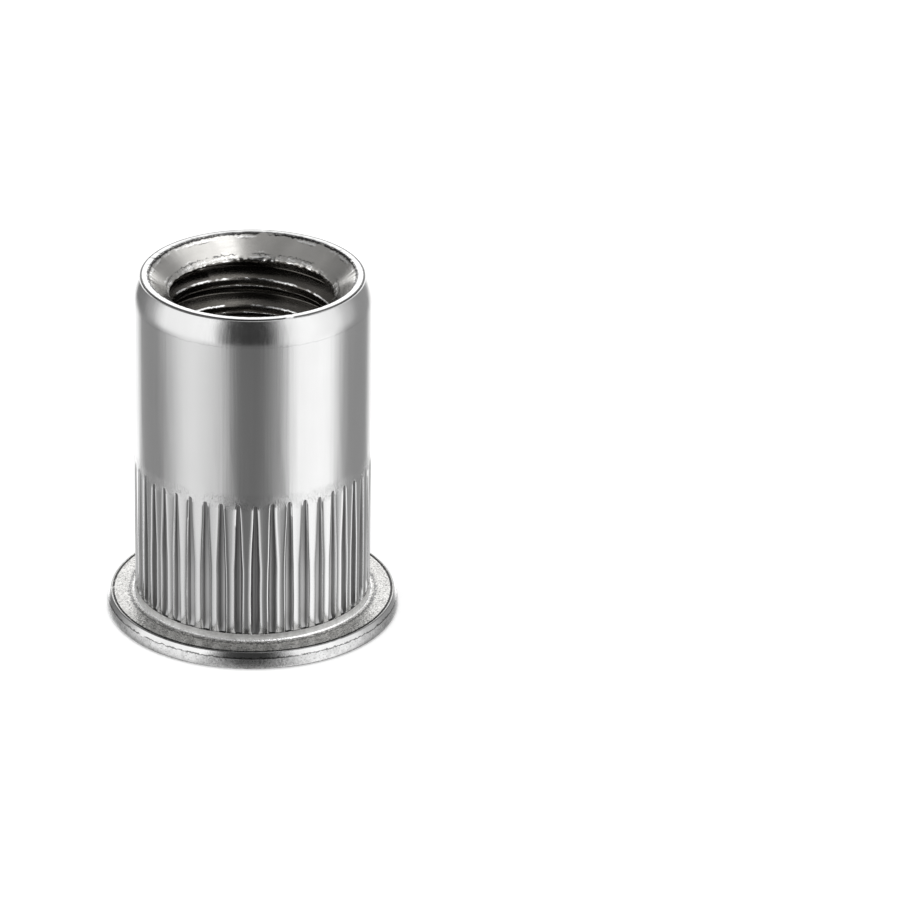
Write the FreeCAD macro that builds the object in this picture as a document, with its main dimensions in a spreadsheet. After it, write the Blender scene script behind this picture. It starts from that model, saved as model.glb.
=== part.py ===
"""Flanged rivet nut with a straight-knurled shank, turned and rolled as one piece.

The nut stands on its flange. The origin is the centre of the flange's outer face, and +Z runs along
the axis to the threaded end. Every size is in millimetres.
"""
import FreeCAD, Part
import Sketcher
import math
import os

NODE = "rivet_nut"

# Driving sizes of the nut. Each one can be changed by itself.
SIZES = {
    # Whole nut
    "overall_length": 15.4,
    "barrel_diameter": 10.0,
    # Flange that rests on the sheet
    "flange_overhang": 1.25,
    "flange_thickness": 0.75,
    "flange_upper_rounding": 0.3,
    "flange_lower_bevel": 0.15,
    "neck_fillet": 0.2,
    # Rolled shoulder and flat lip at the threaded end
    "shoulder_height": 1.15,
    "shoulder_inset": 0.29,
    "lip_width": 0.32,
    "countersink_depth": 0.85,
    # Hole for an M8 thread, at the thread's minor diameter
    "thread_bore": 6.8,
    "thread_lead_in": 0.3,
    # Wide counterbore behind the flange, where the wall bulges when the nut is set
    "barrel_wall": 0.5,
    "counterbore_depth": 7.6,
    "counterbore_mouth_rounding": 0.35,
    "counterbore_corner": 0.25,
    # Straight knurl: rolled grooves that run out upwards into the plain barrel
    "knurl_count": 44,
    "neck_ring": 0.1,
    "knurl_height": 6.05,
    "groove_width": 0.38,
    "groove_floor": 0.2,
    "groove_depth": 0.2,
    "groove_run_out": 3.0,
    # How far the groove's cutter reaches past the barrel's surface
    "cutter_overrun": 0.1,
}

# Sizes that follow from the driving ones.
DERIVED = {
    "barrel_radius": "=barrel_diameter / 2",
    "flange_radius": "=barrel_radius + flange_overhang",
    "lip_radius": "=barrel_radius - shoulder_inset",
    "countersink_radius": "=lip_radius - lip_width",
    "bore_radius": "=thread_bore / 2",
    "counterbore_radius": "=barrel_radius - barrel_wall",
    "knurl_base": "=flange_thickness + neck_fillet + neck_ring",
    "groove_full_height": "=knurl_base + knurl_height - groove_run_out",
    "floor_radius": "=barrel_radius - groove_depth",
    "flank_slope": "=(groove_width - groove_floor) / groove_depth",
    "cutter_radius": "=barrel_radius + cutter_overrun",
    "cutter_width": "=groove_width + flank_slope * cutter_overrun",
}


def make_sheet(doc):
    """Put the driving sizes, and those that follow from them, on one sheet."""
    sheet = doc.addObject("Spreadsheet::Sheet", "Sizes")
    rows = list(SIZES.items()) + list(DERIVED.items())
    for row, (name, value) in enumerate(rows, start=1):
        sheet.set(f"A{row}", name)
        sheet.set(f"B{row}", str(value))
        sheet.setAlias(f"B{row}", name)
    doc.recompute()
    return sheet


def origin_item(body, role):
    """Return the body's own origin plane or axis with this role."""
    for item in body.Origin.OriginFeatures:
        if item.Role == role:
            return item
    raise LookupError(role)


def new_sketch(body, name, role):
    """Start a sketch on one of the body's origin planes."""
    sketch = body.newObject("Sketcher::SketchObject", name)
    sketch.AttachmentSupport = [(origin_item(body, role), "")]
    sketch.MapMode = "FlatFace"
    return sketch


def dimension(sketch, name, kind, where, value, formula):
    """Add one named dimension to a sketch and bind it to the sheet."""
    index = sketch.addConstraint(Sketcher.Constraint(kind, *where, value))
    sketch.renameConstraint(index, name)
    sketch.setExpression(f"Constraints.{name}", formula)


def point(radius, height):
    """Return a sketch point from its radius and height."""
    return FreeCAD.Vector(radius, height, 0)


def draw_section(body, sheet):
    """Draw the half section of the nut, closed, to the right of its axis."""
    sketch = new_sketch(body, "HalfSection", "XZ_Plane")
    top = sheet.overall_length
    shoulder_base = top - sheet.shoulder_height
    countersink_base = top - sheet.countersink_depth
    corners = [
        point(sheet.counterbore_radius, 0),
        point(sheet.flange_radius, 0),
        point(sheet.flange_radius, sheet.flange_thickness),
        point(sheet.barrel_radius, sheet.flange_thickness),
        point(sheet.barrel_radius, shoulder_base),
        point(sheet.lip_radius, top),
        point(sheet.countersink_radius, top),
        point(sheet.bore_radius, countersink_base),
        point(sheet.bore_radius, sheet.counterbore_depth),
        point(sheet.counterbore_radius, sheet.counterbore_depth),
    ]
    face, edge, seat, barrel, shoulder, lip, cone, bore, step, pocket = range(len(corners))
    ends = corners[1:] + corners[:1]
    for index, (first, last) in enumerate(zip(corners, ends)):
        if index != shoulder:
            sketch.addGeometry(Part.LineSegment(first, last), False)
            continue
        height = sheet.shoulder_height
        inset = sheet.shoulder_inset
        radius = (height ** 2 + inset ** 2) / (2 * inset)
        turn = math.atan2(height, radius - inset)
        centre = FreeCAD.Vector(sheet.barrel_radius - radius, shoulder_base, 0)
        circle = Part.Circle(centre, FreeCAD.Vector(0, 0, 1), radius)
        sketch.addGeometry(Part.ArcOfCircle(circle, 0, turn), False)

    # The shoulder arc leaves the barrel smoothly, and every other corner is only joined.
    for index in range(len(corners)):
        joint = "Tangent" if index == barrel else "Coincident"
        following = (index + 1) % len(corners)
        sketch.addConstraint(Sketcher.Constraint(joint, index, 2, following, 1))
    for index in (face, seat, lip, step):
        sketch.addConstraint(Sketcher.Constraint("Horizontal", index))
    for index in (edge, barrel, bore, pocket):
        sketch.addConstraint(Sketcher.Constraint("Vertical", index))
    sketch.addConstraint(Sketcher.Constraint("PointOnObject", face, 1, -1))

    origin = (-1, 1)
    dimension(sketch, "FlangeRadius", "DistanceX", origin + (edge, 1),
              sheet.flange_radius, "Sizes.flange_radius")
    dimension(sketch, "FlangeThickness", "DistanceY", (edge, 1, edge, 2),
              sheet.flange_thickness, "Sizes.flange_thickness")
    dimension(sketch, "BarrelRadius", "DistanceX", origin + (barrel, 1),
              sheet.barrel_radius, "Sizes.barrel_radius")
    dimension(sketch, "OverallLength", "DistanceY", origin + (lip, 1),
              sheet.overall_length, "Sizes.overall_length")
    dimension(sketch, "ShoulderHeight", "DistanceY", (shoulder, 1, shoulder, 2),
              sheet.shoulder_height, "Sizes.shoulder_height")
    dimension(sketch, "LipRadius", "DistanceX", origin + (lip, 1),
              sheet.lip_radius, "Sizes.lip_radius")
    dimension(sketch, "LipWidth", "DistanceX", (lip, 2, lip, 1),
              sheet.lip_width, "Sizes.lip_width")
    dimension(sketch, "CountersinkDepth", "DistanceY", (cone, 2, cone, 1),
              sheet.countersink_depth, "Sizes.countersink_depth")
    dimension(sketch, "BoreRadius", "DistanceX", origin + (bore, 1),
              sheet.bore_radius, "Sizes.bore_radius")
    dimension(sketch, "CounterboreDepth", "DistanceY", origin + (step, 1),
              sheet.counterbore_depth, "Sizes.counterbore_depth")
    dimension(sketch, "CounterboreRadius", "DistanceX", origin + (pocket, 1),
              sheet.counterbore_radius, "Sizes.counterbore_radius")
    return sketch


def ring_edge(shape, radius, height):
    """Return the name of the full circle of this radius at this height."""
    for number, edge in enumerate(shape.Edges, start=1):
        curve = edge.Curve
        if not isinstance(curve, Part.Circle):
            continue
        if abs(curve.Radius - radius) < 1e-4 and abs(curve.Center.z - height) < 1e-4:
            return f"Edge{number}"
    raise LookupError(f"no ring of radius {radius} at height {height}")


def soften(body, kind, name, base, radius, height, size):
    """Round or chamfer one ring edge of the turned form."""
    feature = body.newObject(f"PartDesign::{kind}", name)
    feature.Base = (base, [ring_edge(base.Shape, radius, height)])
    feature.setExpression("Radius" if kind == "Fillet" else "Size", f"Sizes.{size}")
    body.Document.recompute()
    return feature


def turn_form(body, sheet):
    """Revolve the half section and soften its corners."""
    section = draw_section(body, sheet)
    turned = body.newObject("PartDesign::Revolution", "TurnedForm")
    turned.Profile = section
    turned.ReferenceAxis = (section, ["V_Axis"])
    turned.Angle = 360
    section.Visibility = False
    body.Document.recompute()

    feature = soften(body, "Fillet", "FlangeUpperEdge", turned,
                     sheet.flange_radius, sheet.flange_thickness, "flange_upper_rounding")
    feature = soften(body, "Chamfer", "FlangeLowerEdge", feature,
                     sheet.flange_radius, 0, "flange_lower_bevel")
    feature = soften(body, "Fillet", "Neck", feature,
                     sheet.barrel_radius, sheet.flange_thickness, "neck_fillet")
    feature = soften(body, "Fillet", "CounterboreMouth", feature,
                     sheet.counterbore_radius, 0, "counterbore_mouth_rounding")
    feature = soften(body, "Chamfer", "CounterboreCorner", feature,
                     sheet.counterbore_radius, sheet.counterbore_depth, "counterbore_corner")
    return soften(body, "Chamfer", "ThreadLeadIn", feature,
                  sheet.bore_radius, sheet.counterbore_depth, "thread_lead_in")


def draw_groove(body, sheet):
    """Draw the flat-floored section of one knurl groove, where it reaches full depth."""
    sketch = new_sketch(body, "GrooveSection", "XY_Plane")
    sketch.setExpression("AttachmentOffset.Base.z", "Sizes.groove_full_height")
    inner = sheet.floor_radius
    outer = sheet.cutter_radius
    narrow = sheet.groove_floor / 2
    wide = sheet.cutter_width / 2
    corners = [point(inner, narrow), point(inner, -narrow), point(outer, -wide), point(outer, wide)]
    ends = corners[1:] + corners[:1]
    for first, last in zip(corners, ends):
        sketch.addGeometry(Part.LineSegment(first, last), False)
    groove_floor, lower_flank, back, upper_flank = range(len(corners))
    for index in range(len(corners)):
        following = (index + 1) % len(corners)
        sketch.addConstraint(Sketcher.Constraint("Coincident", index, 2, following, 1))
    for index in (groove_floor, back):
        sketch.addConstraint(Sketcher.Constraint("Symmetric", index, 1, index, 2, -1))
    dimension(sketch, "FloorRadius", "DistanceX", (-1, 1, groove_floor, 1), inner,
              "Sizes.floor_radius")
    dimension(sketch, "FloorWidth", "DistanceY", (groove_floor, 2, groove_floor, 1),
              2 * narrow, "Sizes.groove_floor")
    dimension(sketch, "CutterRadius", "DistanceX", (-1, 1, back, 1), outer,
              "Sizes.cutter_radius")
    dimension(sketch, "CutterWidth", "DistanceY", (back, 1, back, 2), 2 * wide,
              "Sizes.cutter_width")
    return sketch


def roll_knurl(body, sheet):
    """Cut one groove, straight below and running out above, and repeat it round the shank."""
    section = draw_groove(body, sheet)
    straight = body.newObject("PartDesign::Pocket", "GrooveRun")
    straight.Profile = section
    straight.Type = "Length"
    straight.setExpression("Length", "Sizes.groove_full_height - Sizes.knurl_base")
    body.Document.recompute()

    run_out = body.newObject("PartDesign::Pocket", "GrooveRunOut")
    run_out.Profile = section
    run_out.Type = "Length"
    run_out.UseCustomVector = True
    run_out.Direction = FreeCAD.Vector(sheet.groove_depth, 0, sheet.groove_run_out)
    run_out.AlongSketchNormal = True
    run_out.setExpression("Length", "Sizes.groove_run_out + Sizes.cutter_overrun")
    body.Document.recompute()

    knurl = body.newObject("PartDesign::PolarPattern", "Knurl")
    knurl.Originals = [straight, run_out]
    knurl.Axis = (origin_item(body, "Z_Axis"), [""])
    knurl.Angle = 360
    knurl.setExpression("Occurrences", "Sizes.knurl_count")
    body.Tip = knurl
    section.Visibility = False
    return knurl


def check(doc, parts):
    """Stop with a plain message if a feature or a finished solid is faulty."""
    for item in doc.Objects:
        if "Invalid" in item.State or "Error" in item.State:
            raise RuntimeError(f"{item.Name} failed: {item.State}")
    for part in parts:
        shape = part.Shape
        if shape.isNull() or not shape.isValid() or len(shape.Solids) != 1:
            raise RuntimeError(f"{part.Label} is not one valid solid")


def build_nut():
    """Build the nut and write its solid."""
    doc = FreeCAD.newDocument("RivetNut")
    sheet = make_sheet(doc)
    body = doc.addObject("PartDesign::Body", "RivetNut")
    body.Label = NODE
    plain = turn_form(body, sheet)
    knurl = roll_knurl(body, sheet)
    doc.recompute()
    check(doc, [body])
    removed = plain.Shape.Volume - knurl.Shape.Volume
    print(f"volume {body.Shape.Volume:.3f} mm3, knurl removes {removed:.3f} mm3")
    os.makedirs("parts", exist_ok=True)
    body.Shape.exportStep(f"parts/{NODE}.step")


build_nut()
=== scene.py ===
"""Looks of the flanged rivet nut: its rolled knurl, cut thread, steel finishes and studio.

The meshes are drawn in millimetres about the nut's own axis, standing on the flange, and are
brought to metres when they are finished. The sections repeat the sizes of the solid.
"""
from __future__ import annotations

import logging
import math
import random
from collections.abc import Callable
from dataclasses import dataclass, field
from enum import Enum

import bmesh
import bpy
from mathutils import Matrix, Vector, noise


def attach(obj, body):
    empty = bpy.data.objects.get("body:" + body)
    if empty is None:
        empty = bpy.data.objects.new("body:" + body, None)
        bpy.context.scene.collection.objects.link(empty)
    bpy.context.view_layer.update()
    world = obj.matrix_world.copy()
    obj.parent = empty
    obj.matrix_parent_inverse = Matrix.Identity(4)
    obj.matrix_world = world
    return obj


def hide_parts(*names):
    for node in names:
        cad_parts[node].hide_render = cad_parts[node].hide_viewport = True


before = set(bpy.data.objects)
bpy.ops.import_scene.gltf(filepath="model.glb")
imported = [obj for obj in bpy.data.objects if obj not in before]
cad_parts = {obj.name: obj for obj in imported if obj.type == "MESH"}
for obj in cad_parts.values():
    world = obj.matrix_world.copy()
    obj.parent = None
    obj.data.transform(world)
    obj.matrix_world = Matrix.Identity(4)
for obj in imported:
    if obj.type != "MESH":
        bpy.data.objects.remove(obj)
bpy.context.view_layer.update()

LOG = logging.getLogger("rivet_nut")
NODE = "rivet_nut"
MM = 0.001
MERGE_WITHIN = 1e-4
PICTURE_WIDTH = 900
SENSOR_WIDTH = 36.0
Colour = tuple[float, float, float]
Span = tuple[float, float]
Outline = tuple[Span, ...]


# Modelling by hand


def leave_edit_mode() -> None:
    """Return to object mode with nothing selected."""
    if bpy.context.object is not None and bpy.context.object.mode != "OBJECT":
        bpy.ops.object.mode_set(mode="OBJECT")
    bpy.ops.object.select_all(action="DESELECT")


def edit(piece: bpy.types.Object) -> None:
    """Open one object in edit mode with nothing selected.

    Args:
        piece: the object.
    """
    leave_edit_mode()
    piece.select_set(True)
    bpy.context.view_layer.objects.active = piece
    bpy.ops.object.mode_set(mode="EDIT")
    bpy.ops.mesh.select_all(action="DESELECT")


def select_edges(piece: bpy.types.Object, wanted: Callable[[bmesh.types.BMEdge], bool]) -> None:
    """Select the edges of the object in edit mode that a test picks.

    Args:
        piece: the object in edit mode.
        wanted: tells for each edge if it is picked.
    """
    bpy.ops.mesh.select_mode(type="EDGE")
    mesh = bmesh.from_edit_mesh(piece.data)
    for edge in mesh.edges:
        edge.select_set(wanted(edge))
    bmesh.update_edit_mesh(piece.data)


class SectionPen:
    """Draws a half section in the XZ plane by extruding one vertex from corner to corner."""

    def __init__(self, name: str, radius: float, height: float) -> None:
        """Put down the first vertex.

        Args:
            name: name of the new object.
            radius: distance of the first corner from the axis.
            height: height of the first corner.
        """
        leave_edit_mode()
        bpy.ops.mesh.primitive_plane_add(size=0.1, location=(0, 0, 0))
        self.piece = bpy.context.object
        self.piece.name = name
        self.start = Vector((radius, 0, height))
        self.place = self.start.copy()
        bpy.ops.object.mode_set(mode="EDIT")
        bpy.ops.mesh.select_mode(type="VERT")
        bpy.ops.mesh.select_all(action="SELECT")
        bpy.ops.mesh.merge(type="CENTER")
        bpy.ops.transform.translate(value=tuple(self.start))

    def line(self, radius: float, height: float, parts: int = 1) -> None:
        """Extrude a straight line.

        Args:
            radius: distance of its end from the axis.
            height: height of its end.
            parts: number of equal edges that it is made of.
        """
        end = Vector((radius, 0, height))
        step = (end - self.place) / parts
        for _ in range(parts):
            bpy.ops.mesh.extrude_vertices_move(TRANSFORM_OT_translate={"value": tuple(step)})
        self.place = end

    def outline(self, radius: float, height: float, corners: Outline, scale: float = 1.0) -> None:
        """Extrude from corner to corner of a small outline.

        Args:
            radius: radius that the corners stand off.
            height: height that the corners lie below.
            corners: for each corner, how far it stands off and how far it lies below.
            scale: size that the corners are counted in.
        """
        for outset, drop in corners:
            self.line(radius + outset * scale, height - drop * scale)

    def arc(self, radius: float, height: float, degrees: float, parts: int) -> None:
        """Spin the last vertex round a centre, as seen from the front.

        Args:
            radius: distance of the arc's centre from the axis.
            height: height of the arc's centre.
            degrees: turn of the arc, counted anticlockwise.
            parts: number of edges that it is made of.
        """
        centre = Vector((radius, 0, height))
        bpy.ops.mesh.spin(steps=parts, angle=math.radians(degrees), center=tuple(centre),
                          axis=(0, 1, 0), use_auto_merge=False)
        turn = Matrix.Rotation(-math.radians(degrees), 3, "Y")
        self.place = centre + turn @ (self.place - centre)

    def close(self) -> bpy.types.Object:
        """Join the last corner to the first one.

        Returns:
            The drawn outline, in edit mode and all selected.
        """
        self.line(self.start.x, self.start.z)
        bpy.ops.mesh.select_all(action="SELECT")
        bpy.ops.mesh.remove_doubles(threshold=MERGE_WITHIN)
        bpy.ops.mesh.select_all(action="SELECT")
        return self.piece


def apply_modifier(piece: bpy.types.Object, modifier: bpy.types.Modifier) -> None:
    """Apply one modifier of an object.

    Args:
        piece: the object.
        modifier: its modifier.
    """
    leave_edit_mode()
    piece.select_set(True)
    bpy.context.view_layer.objects.active = piece
    bpy.ops.object.modifier_apply(modifier=modifier.name)


# The turned form


@dataclass
class TurnedForm:
    """The nut before its knurl is rolled and its hole is tapped. Sizes in millimetres.

    Outlines of small edges are pairs: how far each corner stands off a radius, and how far it lies
    below a height. The crease's outline is in shares of its depth.
    """

    length: float = 15.4
    barrel_radius: float = 5.0
    flange_radius: float = 6.25
    flange_thickness: float = 0.75
    edge_roll: float = 1.1
    edge_corner: float = 0.07
    lower_rounding: float = 0.15
    neck_fillet: float = 0.2
    fillet_start: float = 0.95
    shoulder_height: float = 1.15
    shoulder_share: float = 0.94
    lip_radius: float = 4.71
    lip_outer_edge: Outline = ((-0.01, 0.045), (-0.012, 0.0175), (-0.0375, 0.0))
    lip_inner_edge: Outline = ((0.028, 0.0), (-0.0105, 0.0175))
    bead_crease: float = 0.035
    crease_outline: Outline = ((-0.7, 0.3), (-1.0, 1.0), (-2.0, 0.9), (-2.8, 0.3))
    countersink_radius: float = 4.39
    countersink_depth: float = 0.85
    cone_rings: tuple[float, ...] = (0.07, 0.4, 0.68, 0.76)
    cone_foot: Outline = ((0.03, -0.015), (0.0, 0.05))
    bore_radius: float = 3.4
    lead_in: float = 0.3
    counterbore_radius: float = 4.5
    counterbore_depth: float = 7.6
    mouth_rounding: float = 0.35
    pocket_corner: float = 0.25
    knurl_base: float = 1.05
    knurl_rows_top: float = 7.3
    columns: int = 704

    @property
    def edge_lean(self) -> float:
        """Return how far the flange's swelling edge leans in at its corner, in radians."""
        rise = self.flange_thickness - self.lower_rounding - self.edge_corner
        return math.asin(rise / (self.edge_roll - self.edge_corner))

    @property
    def bead_radius(self) -> float:
        """Return the radius at which the flange's edge meets its top."""
        inside = (self.edge_roll - self.edge_corner) * math.cos(self.edge_lean)
        return self.flange_radius - self.edge_roll + inside

    def draw_section(self) -> bpy.types.Object:
        """Draw the closed half section, starting at the barrel's foot and going up.

        Returns:
            The outline in edit mode, all selected.
        """
        top = self.length
        shoulder_base = top - self.shoulder_height
        inset = self.barrel_radius - self.lip_radius
        roll = (self.shoulder_height ** 2 + inset ** 2) / (2 * inset)
        roll_turn = math.degrees(math.atan2(self.shoulder_height, roll - inset))

        pen = SectionPen("nut", self.barrel_radius, self.flange_thickness + self.neck_fillet)
        pen.line(self.barrel_radius, self.knurl_base)
        pen.line(self.barrel_radius, self.knurl_rows_top)
        pen.line(self.barrel_radius, shoulder_base, parts=3)
        pen.arc(self.barrel_radius - roll, shoulder_base, roll_turn * self.shoulder_share, parts=11)
        pen.outline(self.lip_radius, top, self.lip_outer_edge)
        pen.outline(self.countersink_radius, top, self.lip_inner_edge)
        slope = (self.countersink_radius - self.bore_radius) / self.countersink_depth
        for depth in self.cone_rings:
            pen.line(self.countersink_radius - slope * depth, top - depth)
        pen.outline(self.bore_radius, top - self.countersink_depth, self.cone_foot)
        pen.line(self.bore_radius, self.counterbore_depth + self.lead_in)
        pen.line(self.bore_radius + self.lead_in, self.counterbore_depth)
        corner = self.pocket_corner
        pen.line(self.counterbore_radius - corner, self.counterbore_depth)
        pen.arc(self.counterbore_radius - corner, self.counterbore_depth - corner, -90, parts=4)
        mouth = self.mouth_rounding
        pen.line(self.counterbore_radius, mouth, parts=2)
        pen.arc(self.counterbore_radius + mouth, mouth, 90, parts=8)
        lower = self.lower_rounding
        pen.line(self.flange_radius - lower, 0)
        pen.arc(self.flange_radius - lower, lower, 90, parts=4)
        seat = self.flange_thickness
        bead = self.bead_radius
        lean = math.degrees(self.edge_lean)
        pen.arc(self.flange_radius - self.edge_roll, lower, lean, parts=7)
        pen.arc(bead, seat - self.edge_corner, 90 - lean, parts=6)
        pen.outline(bead, seat, self.crease_outline, scale=self.bead_crease)
        neck = self.neck_fillet
        pen.line(self.barrel_radius + neck, pen.place.z, parts=2)
        pen.line(self.barrel_radius + neck * self.fillet_start, seat)
        pen.arc(self.barrel_radius + neck, seat + neck, -90, parts=6)
        return pen.close()

    def spin(self) -> bpy.types.Object:
        """Spin the section into the closed form.

        Returns:
            The turned form, in object mode.
        """
        piece = self.draw_section()
        bpy.ops.mesh.spin(steps=self.columns, angle=math.tau, center=(0, 0, 0), axis=(0, 0, 1))
        bpy.ops.mesh.select_all(action="SELECT")
        bpy.ops.mesh.remove_doubles(threshold=MERGE_WITHIN)
        bpy.ops.mesh.select_all(action="SELECT")
        bpy.ops.mesh.normals_make_consistent(inside=False)
        leave_edit_mode()
        return piece


# The thread


@dataclass
class TappedThread:
    """Right-hand M8 x 1.25 thread, cut through the hole by a tap. Sizes in millimetres.

    The corners of the tap's tooth are pairs: how far each lies inside a radius, and how much wider
    than the tooth's half width it stands.
    """

    pitch: float = 1.25
    major_radius: float = 4.0
    root_flat: float = 0.22
    crest_radius: float = 3.47
    inner_radius: float = 3.25
    root_corners: Outline = ((0.0, -0.03), (0.03, 0.02))
    crest_corners: Outline = ((0.0, 0.0), (0.05, 0.065), (0.08, 0.14))
    inner_widening: float = 0.17
    first_height: float = 6.32
    turns: int = 8
    steps: int = 88
    flank_degrees: float = 30.0
    fade_start: float = 14.15
    fade_height: float = 0.9
    fade_depth: float = 0.75

    def shape_tap(self) -> bpy.types.Object:
        """Wind the tap's tooth into a closed helix.

        Returns:
            The helix, in object mode.
        """
        half_root = self.root_flat / 2
        slope = math.tan(math.radians(self.flank_degrees))
        base = self.first_height
        half_crest = half_root + (self.major_radius - self.crest_radius) * slope
        half_side = [(self.major_radius - inset, half_root + wider)
                     for inset, wider in self.root_corners]
        half_side += [(self.crest_radius - inset, half_crest + wider)
                      for inset, wider in self.crest_corners]
        half_side.append((self.inner_radius, half_crest + self.inner_widening))
        pen = SectionPen("tap", self.inner_radius, base - half_side[-1][1])
        for radius, offset in reversed(half_side[:-1]):
            pen.line(radius, base - offset)
        for radius, offset in half_side:
            pen.line(radius, base + offset)
        tap = pen.close()
        leave_edit_mode()
        helix = tap.modifiers.new("Helix", "SCREW")
        helix.axis = "Z"
        helix.screw_offset = self.pitch
        helix.iterations = self.turns
        helix.steps = self.steps
        helix.render_steps = self.steps
        apply_modifier(tap, helix)
        for vertex in tap.data.vertices:
            rise = (vertex.co.z - self.fade_start) / self.fade_height
            drawn_in = self.fade_depth * min(max(rise, 0.0), 1.0)
            flat = vertex.co.xy
            vertex.co.xy = flat * (1 - drawn_in / flat.length)
        edit(tap)
        bpy.ops.mesh.select_all(action="SELECT")
        bpy.ops.mesh.fill_holes(sides=0)
        bpy.ops.mesh.select_all(action="SELECT")
        bpy.ops.mesh.normals_make_consistent(inside=False)
        leave_edit_mode()
        return tap

    def cut(self, nut: bpy.types.Object) -> None:
        """Cut the thread into the nut and take the tap away.

        Args:
            nut: the turned form.
        """
        tap = self.shape_tap()
        cutting = nut.modifiers.new("Tapping", "BOOLEAN")
        cutting.object = tap
        cutting.operation = "DIFFERENCE"
        cutting.solver = "EXACT"
        apply_modifier(nut, cutting)
        leave_edit_mode()
        tap.select_set(True)
        bpy.ops.object.delete()


# The knurl


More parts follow.
